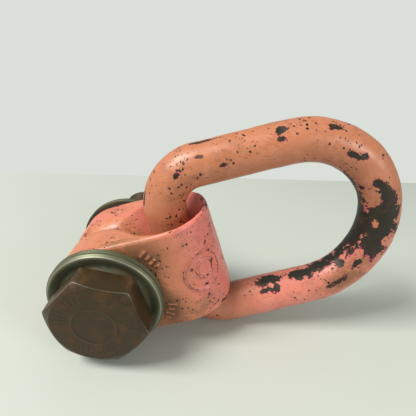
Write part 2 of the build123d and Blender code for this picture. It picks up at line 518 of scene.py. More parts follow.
class Effects:
    """Shader groups that more than one finish uses, each built once.

    Scales are in cycles per metre. A (low, high) pair is where a mask goes
    from none to full.
    """

    FLAKE_SHIFT = 2.3
    FLAKE_BARE = (0.60, 0.64)
    RIM_STARTS = (0.50, 0.57)
    RIM_ENDS = (0.66, 0.60)
    NICK_SCALE = 560.0
    NICK_JITTER_SCALE = 500.0
    NICK_JITTER = 0.0035
    NICK_REACH = 0.50
    NICK_EDGE = (-0.01, 0.04)
    NICK_PATCH_SCALE = 55.0
    NICK_PATCHES = (0.42, 0.60)
    DIRT_PATCH_SCALE = 60.0
    DIRT_STREAK_SCALE = 240.0
    THIN_DIRT = 0.45
    DUST_SCALE = 1500.0
    RUST_SCALE = 95.0
    GRAIN_SCALE = 1300.0
    RUST_EDGE = (0.45, 0.72)

    def __init__(self) -> None:
        """Build every group."""
        self.chips = self._chips()
        self.grime_and_shade = self._grime()
        self.rust = self._rust()

    def _chips(self) -> bpy.types.NodeTree:
        """Paint loss: large flakes where a wear value is high, small nicks anywhere.

        Returns:
            The group, with outputs Bare, Rim and Edge Height.
        """
        inputs = [("Place", "Vector"), ("Wear", "Float"), ("Flake Scale", "Float"), ("Nicks", "Float")]
        outputs = [("Bare", "Float"), ("Rim", "Float"), ("Edge Height", "Float")]
        tree, sheet, given, result = start_group("paint_chips", inputs, outputs)
        place, wear, scale, nicks = (given.outputs[name] for name, _ in inputs)
        flake = sheet.noise(place, scale, 7.0, 0.68)
        uneven = sheet.math("MULTIPLY", sheet.math("SUBTRACT", flake, 0.5), self.FLAKE_SHIFT)
        lift = sheet.math("ADD", wear, uneven)
        big = sheet.step(lift, *self.FLAKE_BARE)
        rim = sheet.math("MULTIPLY", sheet.step(lift, *self.RIM_STARTS), sheet.step(lift, *self.RIM_ENDS))
        wobble = {"Vector": place, "Scale": self.NICK_JITTER_SCALE, "Detail": 3.0}
        jitter = sheet.node("ShaderNodeTexNoise", None, wobble)
        sideways = {0: jitter.outputs["Color"], 3: self.NICK_JITTER}
        shift = sheet.node("ShaderNodeVectorMath", {"operation": "SCALE"}, sideways)
        spot_place = sheet.node("ShaderNodeVectorMath", {"operation": "ADD"}, {0: place, 1: shift.outputs[0]})
        spacing = {"Vector": spot_place.outputs[0], "Scale": self.NICK_SCALE}
        cells = sheet.node("ShaderNodeTexVoronoi", None, spacing)
        chance = sheet.node("ShaderNodeSeparateColor", None, {0: cells.outputs["Color"]}).outputs[0]
        patches = sheet.step(sheet.noise(place, self.NICK_PATCH_SCALE, 4.0), *self.NICK_PATCHES)
        crowd = sheet.math("MULTIPLY", sheet.math("ADD", patches, nicks), self.NICK_REACH)
        reach = sheet.math("MULTIPLY", sheet.math("POWER", chance, 3.0), crowd)
        small = sheet.step(sheet.math("SUBTRACT", reach, cells.outputs["Distance"]), *self.NICK_EDGE)
        bare = sheet.math("MAXIMUM", big, small)
        height = sheet.math("SUBTRACT", 1.0, bare)
        sheet.feed(result.inputs["Bare"], bare)
        sheet.feed(result.inputs["Rim"], rim)
        sheet.feed(result.inputs["Edge Height"], height)
        return tree

    def _grime(self) -> bpy.types.NodeTree:
        """Brown dirt and painted shade: thick where the hollow input is high, which stands for shade in
        recesses as well as dirt; thin and speckled dirt elsewhere.

        Returns:
            The group, with an output for dirt with painted shade, and one for dust.
        """
        inputs = [("Place", "Vector"), ("Hollow", "Float"), ("Amount", "Float")]
        tree, sheet, given, result = start_group("grime_and_shade", inputs, [("Dirt And Shade", "Float"), ("Dust", "Float")])
        place, hollow, amount = (given.outputs[name] for name, _ in inputs)
        patch = sheet.noise(place, self.DIRT_PATCH_SCALE, 6.0, 0.6)
        streak = sheet.noise(place, self.DIRT_STREAK_SCALE, 4.0, 0.6)
        # Painted shade in recesses, with dirt: strongest where the hollow input is high.
        recess_shade_and_dirt = sheet.math("MULTIPLY", hollow, sheet.math("ADD", patch, 0.35))
        thin = sheet.math("MULTIPLY", sheet.step(patch, 0.45, 0.75), sheet.step(streak, 0.35, 0.7))
        dirt = sheet.math("ADD", recess_shade_and_dirt, sheet.math("MULTIPLY", thin, self.THIN_DIRT))
        sheet.feed(result.inputs["Dirt And Shade"], sheet.math("MULTIPLY", dirt, amount, clamp=True))
        sheet.feed(result.inputs["Dust"], sheet.step(sheet.noise(place, self.DUST_SCALE, 2.0), 0.62, 0.8))
        return tree

    def _rust(self) -> bpy.types.NodeTree:
        """Rust bloom: blotches broken up by fine grain.

        Returns:
            The group, with outputs Rust and Grain.
        """
        inputs = [("Place", "Vector"), ("Amount", "Float")]
        outputs = [("Rust", "Float"), ("Grain", "Float")]
        tree, sheet, given, result = start_group("rust_bloom", inputs, outputs)
        place, amount = (given.outputs[name] for name, _ in inputs)
        blotch = sheet.noise(place, self.RUST_SCALE, 6.0, 0.65)
        grain = sheet.noise(place, self.GRAIN_SCALE, 4.0, 0.7)
        both = sheet.math("ADD", blotch, sheet.math("MULTIPLY", sheet.math("SUBTRACT", grain, 0.5), 0.3))
        both = sheet.math("ADD", both, sheet.math("SUBTRACT", amount, 0.5))
        sheet.feed(result.inputs["Rust"], sheet.step(both, *self.RUST_EDGE))
        sheet.feed(result.inputs["Grain"], grain)
        return tree


def start_material(name: str) -> tuple[bpy.types.Material, Sheet, bpy.types.Node]:
    """Make a material with only a Principled BSDF.

    Args:
        name: The material's name.

    Returns:
        The material, its sheet and the shader node.
    """
    material = bpy.data.materials.new(name)
    material.use_nodes = True
    material.node_tree.nodes.clear()
    sheet = Sheet(material.node_tree)
    shader = sheet.node("ShaderNodeBsdfPrincipled")
    output = sheet.node("ShaderNodeOutputMaterial")
    sheet.tree.links.new(shader.outputs[0], output.inputs[0])
    return material, sheet, shader


@dataclass(frozen=True)
class ChippedPaint:
    """Brushed-on coral paint over dark steel, chipped, rubbed, grimy and darkened by painted shade in its
    recesses.
    """

    name: str
    warm: Colour
    pink: Colour
    pale: Colour = (0.74, 0.33, 0.22)
    # The colour of dirt, dust and scratches, and of the painted shade in recesses.
    grime_and_shade: Colour = (0.115, 0.048, 0.017)
    stain: Colour = (0.240, 0.105, 0.040)
    steel: Colour = (0.030, 0.025, 0.019)
    ochre: Colour = (0.13, 0.060, 0.022)
    primer: Colour = (0.33, 0.028, 0.085)
    flake_scale: float = 190.0
    nicks: float = 0.0
    # Strength of the dirt and of the painted shade in recesses.
    dirt: float = 0.8
    rust_amount: float = 0.42
    pale_share: float = 0.2
    dust_share: float = 0.35
    scuff_share: float = 0.65
    scuff_stretch: tuple[float, float, float] = (0.35, 0.6, 1.3)
    gloss: tuple[float, float] = (0.24, 0.54)
    dirt_rough: float = 0.75
    bare_rough: float = 0.5
    bare_metallic: float = 0.55

    def scuffs(self, sheet: Sheet, place: Socket) -> Socket:
        """Short scratches, gathered in patches.

        Args:
            sheet: The material's sheet.
            place: The point's place on the piece.

        Returns:
            The scratches, from 0 to 1.
        """
        stretch = {0: place, 1: self.scuff_stretch}
        along = sheet.node("ShaderNodeVectorMath", {"operation": "MULTIPLY"}, stretch).outputs[0]
        lines = sheet.step(sheet.noise(along, 900.0, 5.0, 0.7), 0.56, 0.66)
        patches = sheet.step(sheet.noise(place, 38.0, 3.0), 0.40, 0.58)
        return sheet.math("MULTIPLY", lines, patches)

    def coat(self, sheet: Sheet, place: Socket, grime_and_shade: bpy.types.Node) -> Socket:
        """The paint's colour where it is whole.

        Args:
            sheet: The material's sheet.
            place: The point's place on the piece.
            grime_and_shade: The grime group's node.

        Returns:
            The colour, with pale patches, stains, dirt and painted shade in recesses, dust and scratches.
        """
        tint = sheet.math("ADD", sheet.mask("blush"), sheet.noise(place, 35.0, 4.0))
        paint = sheet.mix(sheet.step(tint, 0.35, 1.05), self.warm, self.pink)
        pale = sheet.step(sheet.noise(place, 160.0, 5.0, 0.6), 0.35, 0.8)
        paint = sheet.mix(sheet.math("MULTIPLY", pale, self.pale_share), paint, self.pale)
        blotch = sheet.step(sheet.noise(place, 150.0, 5.0, 0.6), 0.30, 0.58)
        paint = sheet.mix(sheet.math("MULTIPLY", sheet.mask("stain"), blotch), paint, self.stain)
        # Painted shade in recesses, with dirt, in the grime colour.
        paint = sheet.mix(grime_and_shade.outputs["Dirt And Shade"], paint, self.grime_and_shade)
        dust = sheet.math("MULTIPLY", grime_and_shade.outputs["Dust"], self.dust_share)
        paint = sheet.mix(dust, paint, self.grime_and_shade)
        scuff = sheet.math("MULTIPLY", self.scuffs(sheet, place), self.scuff_share)
        return sheet.mix(scuff, paint, self.grime_and_shade)

    def build(self, effects: Effects) -> bpy.types.Material:
        """Make the material.

        Args:
            effects: The shared shader groups.

        Returns:
            The material.
        """
        material, sheet, shader = start_material(self.name)
        place = sheet.place()
        flakes = {"Wear": sheet.mask("wear"), "Flake Scale": self.flake_scale, "Nicks": self.nicks}
        chips = sheet.group(effects.chips, {"Place": place, **flakes})
        shade_and_soil_inputs = {"Place": place, "Hollow": sheet.mask("hollow"), "Amount": self.dirt}
        grime_and_shade = sheet.group(effects.grime_and_shade, shade_and_soil_inputs)
        rust = sheet.group(effects.rust, {"Place": place, "Amount": self.rust_amount})
        bare = sheet.mix(rust.outputs["Rust"], self.steel, self.ochre)
        shown = sheet.step(sheet.noise(place, 130.0, 3.0), 0.42, 0.6)
        rim = sheet.math("MULTIPLY", chips.outputs["Rim"], shown)
        skin = sheet.mix(rim, self.coat(sheet, place, grime_and_shade), self.primer)
        sheet.feed(shader.inputs["Base Color"], sheet.mix(chips.outputs["Bare"], skin, bare))
        gloss = sheet.lerp(sheet.noise(place, 260.0, 5.0, 0.65), *self.gloss)
        gloss = sheet.lerp(grime_and_shade.outputs["Dirt And Shade"], gloss, self.dirt_rough)
        rough = sheet.lerp(chips.outputs["Bare"], gloss, self.bare_rough)
        sheet.feed(shader.inputs["Roughness"], rough)
        metallic = sheet.math("MULTIPLY", chips.outputs["Bare"], self.bare_metallic)
        sheet.feed(shader.inputs["Metallic"], metallic)
        orange_peel = sheet.math("MULTIPLY", sheet.noise(place, 420.0, 3.0), 0.5)
        height = sheet.math("ADD", chips.outputs["Edge Height"], orange_peel)
        sheet.feed(shader.inputs["Normal"], sheet.bump(height, 0.7, 0.00025))
        return material


@dataclass(frozen=True)
class DarkSteel:
    """Blackened bolt steel, brown with rust and rubbed bright along its edges."""

    name: str
    black: Colour = (0.042, 0.027, 0.011)
    rust: Colour = (0.090, 0.038, 0.011)
    bright: Colour = (0.14, 0.125, 0.105)
    dirt: Colour = (0.125, 0.062, 0.022)
    dirt_share: float = 0.7
    rust_amount: float = 0.48
    specular: float = 0.3

    def build(self, effects: Effects) -> bpy.types.Material:
        """Make the material.

        Args:
            effects: The shared shader groups.

        Returns:
            The material.
        """
        material, sheet, shader = start_material(self.name)
        place = sheet.place()
        rust = sheet.group(effects.rust, {"Place": place, "Amount": self.rust_amount})
        edge = sheet.math("ADD", sheet.mask("wear"), sheet.math("MULTIPLY", rust.outputs["Grain"], 0.5))
        rubbed = sheet.step(edge, 0.95, 1.25)
        colour = sheet.mix(rust.outputs["Rust"], self.black, self.rust)
        hollow = sheet.math("MULTIPLY", sheet.mask("hollow"), self.dirt_share)
        colour = sheet.mix(hollow, colour, self.dirt)
        sheet.feed(shader.inputs["Base Color"], sheet.mix(rubbed, colour, self.bright))
        sheet.feed(shader.inputs["Metallic"], sheet.lerp(rust.outputs["Rust"], 0.25, 0.1))
        shader.inputs["Specular IOR Level"].default_value = self.specular
        rough = sheet.lerp(rust.outputs["Rust"], 0.40, 0.68)
        sheet.feed(shader.inputs["Roughness"], sheet.lerp(rubbed, rough, 0.34))
        height = sheet.math("ADD", rust.outputs["Grain"], sheet.noise(place, 300.0, 5.0, 0.6))
        sheet.feed(shader.inputs["Normal"], sheet.bump(height, 0.35, 0.00025))
        return material


@dataclass(frozen=True)
class PlatedSteel:
    """Turned steel with dull olive plating and fine rings round the bolt axis."""

    name: str
    olive: Colour = (0.170, 0.175, 0.105)
    worn: Colour = (0.27, 0.27, 0.215)
    dark: Colour = (0.045, 0.048, 0.026)
    rust: Colour = (0.095, 0.062, 0.022)
    rust_amount: float = 0.50

    def build(self, effects: Effects) -> bpy.types.Material:
        """Make the material.

        Args:
            effects: The shared shader groups.

        Returns:
            The material.
        """
        material, sheet, shader = start_material(self.name)
        place = sheet.place()
        flat = sheet.node("ShaderNodeVectorMath", {"operation": "MULTIPLY"}, {0: place, 1: (1.0, 0.0, 1.0)})
        radius = sheet.node("ShaderNodeVectorMath", {"operation": "LENGTH"}, {0: flat.outputs[0]})
        radius = radius.outputs["Value"]
        along = sheet.node("ShaderNodeSeparateXYZ", None, {0: place}).outputs["Y"]
        ring_place = sheet.node("ShaderNodeCombineXYZ", None, {"X": radius, "Y": along}).outputs[0]
        rings = sheet.noise(ring_place, 1800.0, 2.0, 0.5)
        grime_and_shade = sheet.group(effects.grime_and_shade, {"Place": place, "Hollow": sheet.mask("hollow"), "Amount": 1.0})
        rust = sheet.group(effects.rust, {"Place": place, "Amount": self.rust_amount})
        edge = sheet.math("ADD", sheet.mask("wear"), sheet.math("MULTIPLY", rust.outputs["Grain"], 0.35))
        rubbed = sheet.math("MULTIPLY", sheet.step(edge, 0.75, 1.15), 0.8)
        tone = sheet.lerp(sheet.noise(place, 70.0, 5.0), 0.0, 0.7)
        colour = sheet.mix(tone, self.olive, self.dark)
        colour = sheet.mix(rubbed, colour, self.worn)
        # The hollow mask darkens the plating: painted shade in the gap to the ear, plus the seat corner, dish
        # and pocket.
        colour = sheet.mix(grime_and_shade.outputs["Dirt And Shade"], colour, self.dark)
        spot = sheet.math("MULTIPLY", rust.outputs["Rust"], sheet.mask("hollow"))
        colour = sheet.mix(spot, colour, self.rust)
        sheet.feed(shader.inputs["Base Color"], colour)
        sheet.feed(shader.inputs["Metallic"], sheet.lerp(grime_and_shade.outputs["Dirt And Shade"], 0.75, 0.2))
        rough = sheet.lerp(rings, 0.38, 0.62)
        sheet.feed(shader.inputs["Roughness"], sheet.lerp(grime_and_shade.outputs["Dirt And Shade"], rough, 0.75))
        height = sheet.math("ADD", rings, sheet.math("MULTIPLY", rust.outputs["Grain"], 0.6))
        sheet.feed(shader.inputs["Normal"], sheet.bump(height, 0.3, 0.0002))
        return material


@dataclass(frozen=True)
class PlainFinish:
    """A small part's finish: one metal or rubber with uneven tone and fine grain."""

    name: str
    light: Colour
    dark: Colour
    metallic: float
    rough: tuple[float, float]
    grain_scale: float = 600.0
    rust: Colour = (0.10, 0.045, 0.015)
    rust_amount: float = 0.35

    def build(self, effects: Effects) -> bpy.types.Material:
        """Make the material.

        Args:
            effects: The shared shader groups.

        Returns:
            The material.
        """
        material, sheet, shader = start_material(self.name)
        place = sheet.place()
        rust = sheet.group(effects.rust, {"Place": place, "Amount": self.rust_amount})
        tone = sheet.noise(place, 120.0, 5.0)
        colour = sheet.mix(tone, self.light, self.dark)
        colour = sheet.mix(sheet.math("MULTIPLY", rust.outputs["Rust"], 0.4), colour, self.rust)
        sheet.feed(shader.inputs["Base Color"], colour)
        shader.inputs["Metallic"].default_value = self.metallic
        grain = sheet.noise(place, self.grain_scale, 4.0)
        sheet.feed(shader.inputs["Roughness"], sheet.lerp(grain, *self.rough))
        sheet.feed(shader.inputs["Normal"], sheet.bump(grain, 0.2, 0.0002))
        return material


# ---------------------------------------------------------------- strap body

@dataclass
class StrapBody:
    """Forged body: two ears meeting in a groove, and the bent strap with its flared eye."""

    axes: RingAxes
    ear_face: float = 30.7
    ear_r: float = 34.4
    bend_x: float = 43.3
    side_corner_r: float = 6.0
    edge_r: float = 2.6
    rim_r: float = 1.3
    groove_floor_r: float = 30.3
    groove_slant: float = math.radians(45.0)
    groove_edge_r: float = 4.5
    groove_end_x: float = 24.0
    groove_end_r: float = 4.0
    eye_x: float = 45.3
    throat_r: float = 15.2
    mouth_r: float = 27.4
    scoop_start_x: float = 12.0
    scoop_floor_x: float = 33.5
    scoop_floor_z: float = 8.0
    bore_r: float = 25.7
    track_r: float = 28.8
    track_y: float = 31.2
    track_size: float = 3.3
    cell: float = 0.755
    mark_height: float = 0.8
    badge_s: float = 65.5
    badge_z: float = -1.0
    badge_r: float = 13.6
    badge_ring_r: float = 6.2
    mark_ring_r: float = 41.5
    mark_pitch: float = 5.4
    mark_angles: tuple[float, float] = (29.0, -31.0)
    marks_per_group: int = 4
    forged_bands: tuple[tuple[float, float], ...] = ((14.0, 0.28), (5.0, 0.10))

    def side(self, x: np.ndarray, z: np.ndarray) -> np.ndarray:
        """Distance to the outline seen along the bolt: round at the ears, square-ended at the bend.

        Args:
            x: Places towards the eye.
            z: Places through the eye.

        Returns:
            Distances, negative inside.
        """
        end = self.bend_x + self.ear_face
        middle = (end - self.ear_r) / 2
        half = (end + self.ear_r) / 2
        r = np.where(x > middle, self.side_corner_r, self.ear_r)
        qx = np.abs(x - middle) - half + r
        qz = np.abs(z) - self.ear_r + r
        return np.minimum(np.maximum(qx, qz), 0) + np.hypot(np.maximum(qx, 0), np.maximum(qz, 0)) - r

    def plan(self, x: np.ndarray, y: np.ndarray) -> np.ndarray:
        """Distance to the outline seen along the eye: straight sides and a round bend.

        Args:
            x: Places towards the eye.
            y: Places along the bolt.

        Returns:
            Distances, negative inside.
        """
        return np.where(x > self.bend_x, np.hypot(x - self.bend_x, y), np.abs(y)) - self.ear_face

    def eye(self, x: np.ndarray, y: np.ndarray, z: np.ndarray) -> np.ndarray:
        """Distance to the eye: a flared throat, drawn out towards the groove at each mouth.

        Args:
            x: Places towards the eye.
            y: Places along the bolt.
            z: Places through the eye.

        Returns:
            Distances, negative in the hole.
        """
        flare = self.mouth_r - self.throat_r
        flare_r = (self.ear_r**2 + flare**2) / (2 * flare)
        height = np.minimum(np.abs(z), self.ear_r + 4)
        rise = np.sqrt(flare_r**2 - height**2)
        big = self.throat_r + flare_r - rise
        climb = np.clip((height - self.scoop_floor_z) / (self.ear_r - self.scoop_floor_z), 0, 1.1)
        tip_x = self.scoop_floor_x + (self.scoop_start_x - self.scoop_floor_x) * climb
        tip_r = 1.5 + 3.0 * climb
        length = self.eye_x - tip_x
        lean = np.clip((big - tip_r) / length, 0, 0.98)
        level = np.sqrt(1 - lean**2)
        along, across = self.eye_x - x, np.abs(y)
        side = level * along - lean * across
        flank = level * across + lean * along - big
        tip = np.hypot(across, along - length) - tip_r
        gap = np.where(side < 0, np.hypot(across, along) - big, np.where(side > level * length, tip, flank))
        return gap * rise / flare_r

    def marks(self, x: np.ndarray, y: np.ndarray, z: np.ndarray) -> np.ndarray:
        """Height of the raised marks on the head side: a round badge, and bars beside the flange.

        Args:
            x: Places towards the eye.
            y: Places along the bolt.
            z: Places through the eye.

        Returns:
            Heights in millimetres.
        """
        turn = np.arcsin(np.clip((x - self.bend_x) / self.ear_face, -1, 1))
        s = np.where(x > self.bend_x, self.bend_x + self.ear_face * turn, x)
        out = np.hypot(s - self.badge_s, z - self.badge_z)
        big_ring = np.clip((1.0 - np.abs(out - self.badge_r)) / 0.6, 0, 1)
        small = np.hypot(s - self.badge_s - 1.5, z - self.badge_z - 1.5)
        small_ring = np.clip((1.1 - np.abs(small - self.badge_ring_r)) / 0.6, 0, 1)
        height = np.maximum(big_ring, small_ring)
        for turn_by in (0.4, 2.5, 4.6):
            pip = np.hypot(
                s - self.badge_s - 9.4 * math.cos(turn_by), z - self.badge_z - 9.4 * math.sin(turn_by)
            )
            height = np.maximum(height, np.clip((1.5 - pip) / 0.7, 0, 1))
        r = np.hypot(x, z)
        angle = np.degrees(np.arctan2(z, x))
        for middle in self.mark_angles:
            for i in range(self.marks_per_group):
                turn_by = (i - (self.marks_per_group - 1) / 2) * self.mark_pitch
                off = (angle - middle - turn_by) * r * math.pi / 180
                long = np.abs(r - self.mark_ring_r) - (3.0 if i % 2 else 1.9)
                bar = np.maximum(np.abs(off) - 0.75, long)
                height = np.maximum(height, np.clip((0.6 - bar) / 0.8, 0, 1))
        return np.where(y < -self.ear_face / 4, height * self.mark_height, 0.0)

    def distance(self, p: np.ndarray) -> np.ndarray:
        """Distance to the finished surface, negative inside.

        Args:
            p: N by 3 array in ring directions.

        Returns:
            N distances, in millimetres.
        """
        x, y, z = p.T
        d = round_max(self.side(x, z), self.plan(x, y), self.edge_r)
        d = d - self.marks(x, y, z)
        rho = np.hypot(x, z)
        level, drop = math.cos(self.groove_slant), math.sin(self.groove_slant)
        vee = np.abs(y) * level - (rho - self.groove_floor_r) * drop
        d = round_max(d, -round_max(vee, x - self.groove_end_x, self.groove_end_r), self.groove_edge_r)
        d = round_max(d, -self.eye(x, y, z), self.rim_r)
        d = np.maximum(d, self.bore_r - rho)
        for way in (-1, 1):
            d = np.maximum(d, self.track_size - np.hypot(rho - self.track_r, y - way * self.track_y))
        return d

    def masks(self, points: np.ndarray, normals: np.ndarray) -> dict[str, np.ndarray]:
        """Where the paint is worn, stained or pinker, and where it is darkened by dirt and painted shade.

        Args:
            points: N by 3 array in ring directions.
            normals: Outward directions.

        Returns:
            Values for each vertex, by mask name.
        """
        probe_in, probe_out = 2.5, 5.0
        edge = 1 + self.distance(points - normals * probe_in) / probe_in
        # How closed in each point is; it darkens the paint as painted shade in recesses.
        hollow = 1 - self.distance(points + normals * probe_out) / probe_out
        x, y, z = points.T
        raised = self.marks(x, y, z) / self.mark_height
        low_front = bump_at(x, 52, 16) * bump_at(z, -26, 9) * (y < -10)
        rim_foot = bump_at(np.hypot(x, z), 39, 5) * (y < -25) * (x > 8)
        upper, lower = bump_at(x, 33, 12) * bump_at(z, 21, 12), bump_at(x, 36, 9) * bump_at(z, -21, 12)
        beside = np.maximum(upper, lower) * (y < -20)
        # Painted shade in the groove between the ears.
        groove_shade = bump_at(y, 0, 5.5) * np.clip((x - 12) / 12, 0, 1) * (x < 42)
        mark_foot = np.clip(1 - np.abs(raised - 0.4) / 0.4, 0, 1)
        # The darkening: painted shade in recesses and the groove, darkening beside the flange, and dirt round
        # the marks.
        dirt = hollow * 1.2 + groove_shade * 0.5 + beside * 1.1 * (1 - raised) + 0.5 * mark_foot
        return {
            "wear": np.clip(edge * 0.80 + raised * 0.20, 0, 0.62),
            "hollow": np.clip(dirt, 0, 1),
            "stain": np.clip(low_front * 0.8 + rim_foot * 0.7, 0, 0.9),
            "blush": np.clip((x - 48) / 40, -0.45, 0.55) + 0.70 * np.clip(y / 10, 0, 1),
        }

    def build(self, finish: bpy.types.Material) -> bpy.types.Object:
        """Make the piece.

        Args:
            finish: Its paint.

        Returns:
            The object.
        """
        end = self.bend_x + self.ear_face
        low = (-self.ear_r - 2, -self.ear_face - 3, -self.ear_r - 2)
        high = (end + 3, self.ear_face + 3, self.ear_r + 2)
        points, faces = net_surface(self.distance, low, high, self.cell)
        normals = slopes(self.distance, points, 0.3)
        normals /= np.maximum(np.linalg.norm(normals, axis=1), 1e-6)[:, None]
        masks = self.masks(points, normals)
        inside_bore = np.hypot(points[:, 0], points[:, 2]) < self.bore_r + 1
        rough = roughen(points, normals, self.forged_bands)
        points = np.where(inside_bore[:, None], points, rough)
        placing = Placing(Body.STRAP, "strap_body", "body_paint")
        piece = add_piece("forged_body", (self.axes.to_row(points), faces), placing, masks)
        piece.data.materials.append(finish)
        return piece


# ---------------------------------------------------------------- link

@dataclass(frozen=True)
class WornSpot:
    """A place on the link where paint is gone.

    along is millimetres round the bar from the middle of the round end,
    positive towards the top bar. side is degrees round the bar: 0 outside,
    90 towards the bolt head, 180 inside.
    """

    along: float
    side: float
    long_reach: float
    side_reach: float
    depth: float


@dataclass
class OvalLink:
    """Round bar bent to an oval, its short bar through the eye."""

    axes: LinkAxes
    bar_r: float = 13.7
    length: float = 139.6
    half_width: float = 55.5
    corner_r: float = 26.9
    stations: int = 480
    segments: int = 96
    wear_depth: float = 0.8
    bar_bands: tuple[tuple[float, float], ...] = ((16.0, 0.35), (5.0, 0.10))

    def worn_spots(self) -> list[WornSpot]:
        """List the bare places, and with a negative depth the islands of paint left in them.

        Returns:
            Every spot.
        """
        round_end = [
            WornSpot(-10, 187, 54, 41, 1.1),
            WornSpot(-1, 106, 12, 38, 1.2),
            WornSpot(-16, 98, 12, 32, 1.15),
            WornSpot(-28, 98, 8, 32, 1.15),
            WornSpot(-18, 132, 13, 24, 1.1),
            WornSpot(10, 94, 8, 20, 1.05),
            WornSpot(20.5, 102, 4.5, 11, 1.1),
            WornSpot(10, 131, 5, 13, -1.0),
            WornSpot(-22, 80, 4, 9, -0.9),
            WornSpot(-11, 124, 3, 8, -0.55),
        ]
        top_bar = [
            WornSpot(50.6, 93, 6, 7, 0.95),
            WornSpot(43.3, 82, 3, 8, 0.95),
            WornSpot(64.6, 40, 4, 9, 1.0),
            WornSpot(92, 36, 3, 10, 1.0),
            WornSpot(92.8, 60, 2.5, 6, 0.9),
            WornSpot(138, 6, 9, 6, 0.95),
            WornSpot(141.5, 55, 3, 5, 0.9),
            WornSpot(128.6, 89, 2.5, 8, 0.8),
            WornSpot(156, 74, 3, 7, 0.8),
            WornSpot(176, 19, 4.5, 6, 1.0),
        ]
        low_bar = [
            WornSpot(-56.5, 145, 4.5, 14, 1.05),
            WornSpot(-44.7, 114, 9, 7, 0.9),
            WornSpot(-67, 103, 9, 9, 0.85),
            WornSpot(-68, 180, 16, 20, 1.0),
            WornSpot(-88, 166, 13, 17, 1.05),
            WornSpot(-114.6, 172, 8, 20, 1.05),
            WornSpot(-117, 136, 5, 9, 0.9),
            WornSpot(-110.8, 137, 2.5, 14, 0.95),
        ]
        far_side = [
            WornSpot(30, 250, 12, 24, 0.9),
            WornSpot(-62, 285, 8, 16, 0.9),
            WornSpot(118, 262, 7, 14, 0.85),
            WornSpot(-130, 252, 9, 18, 0.85),
            WornSpot(-20, 345, 7, 14, 0.9),
        ]
        return round_end + top_bar + low_bar + far_side

    def centre_line(self) -> tuple[np.ndarray, np.ndarray, np.ndarray]:
        """Walk round the bar's middle line.

        Returns:
            Points along the bar's middle, the outward direction at each, and the length from the
            round end.
        """
        bend_x = self.length - self.half_width
        end_arc = math.pi / 2 * self.half_width
        side = bend_x - self.corner_r
        corner = math.pi / 2 * self.corner_r
        short = self.half_width - self.corner_r
        half = end_arc + side + corner + short
        s = (np.arange(self.stations) / self.stations * 2 - 1) * half
        a = np.abs(s)
        way = np.where(s < 0, -1.0, 1.0)
        end_turn = np.clip(a, 0, end_arc) / self.half_width
        corner_turn = np.clip(a - end_arc - side, 0, corner) / self.corner_r
        u = bend_x + self.half_width * np.cos(end_turn)
        u -= np.clip(a - end_arc, 0, side) + self.corner_r * np.sin(corner_turn)
        v = self.half_width * np.sin(end_turn)
        v -= self.corner_r * (1 - np.cos(corner_turn)) + np.clip(a - end_arc - side - corner, 0, short)
        turn = end_turn + corner_turn
        points = np.stack([u, v * way], 1)
        outward = np.stack([np.cos(turn), np.sin(turn) * way], 1)
        return points, outward, s

    def masks(self, place: np.ndarray, side: np.ndarray) -> dict[str, np.ndarray]:
        """Where the paint is worn, dirty, stained or pinker.

        Args:
            place: Millimetres along the bar from the round end's middle.
            side: Degrees round the bar.

        Returns:
            Values for each vertex, by mask name.
        """
        wear = np.zeros(len(place))
        kept = np.zeros(len(place))
        for spot in self.worn_spots():
            off_side = (side - spot.side + 180) % 360 - 180
            gap = ((place - spot.along) / spot.long_reach) ** 2 + (off_side / spot.side_reach) ** 2
            value = spot.depth * np.exp(-gap / 2)
            wear = np.maximum(wear, value)
            kept = np.minimum(kept, value)
        inner = np.clip(-np.cos(np.radians(side)), 0, 1)
        low_side = bump_at(place, -58, 22) * bump_at(side, 102, 30)
        pinker = bump_at(place, -85, 85)
        return {
            "wear": np.clip(wear + kept, 0, 1.1),
            "hollow": np.clip(inner * 0.15 + low_side * 0.5, 0, 1),
            "stain": np.clip(low_side * 1.3, 0, 0.9),
            "blush": np.clip(-0.40 + 0.95 * pinker, -0.5, 0.5),
        }

    def build(self, finish: bpy.types.Material) -> bpy.types.Object:
        """Make the piece.

        Args:
            finish: Its paint.

        Returns:
            The object.
        """
        line, outward, s = self.centre_line()
        angle = np.arange(self.segments) * FULL_TURN / self.segments
        out = np.cos(angle)[None, :, None] * outward[:, None, :]
        head = np.repeat(np.sin(angle)[None, :], self.stations, 0)
        normals = np.stack([out[..., 0], head, out[..., 1]], -1).reshape(-1, 3)
        middle = np.stack([line[:, 0], np.zeros(self.stations), line[:, 1]], 1)
        points = np.repeat(middle, self.segments, 0) + normals * self.bar_r
        place = np.repeat(s, self.segments)
        side = np.tile(np.degrees(angle), self.stations)
        masks = self.masks(place, side)
        worn_in = np.clip(masks["wear"] - 0.6, 0, 0.4) * -self.wear_depth
        points = points + normals * worn_in[:, None]
        points = roughen(points, normals, self.bar_bands)
        faces = wrap_faces(self.stations, self.segments, True)
        row = self.axes.ring.to_row(self.axes.to_ring(points))
        placing = Placing(Body.LINK, "link", "link_paint")
        piece = add_piece("oval_link", (row, faces), placing, masks)
        piece.data.materials.append(finish)
        return piece


# ---------------------------------------------------------------- bolt

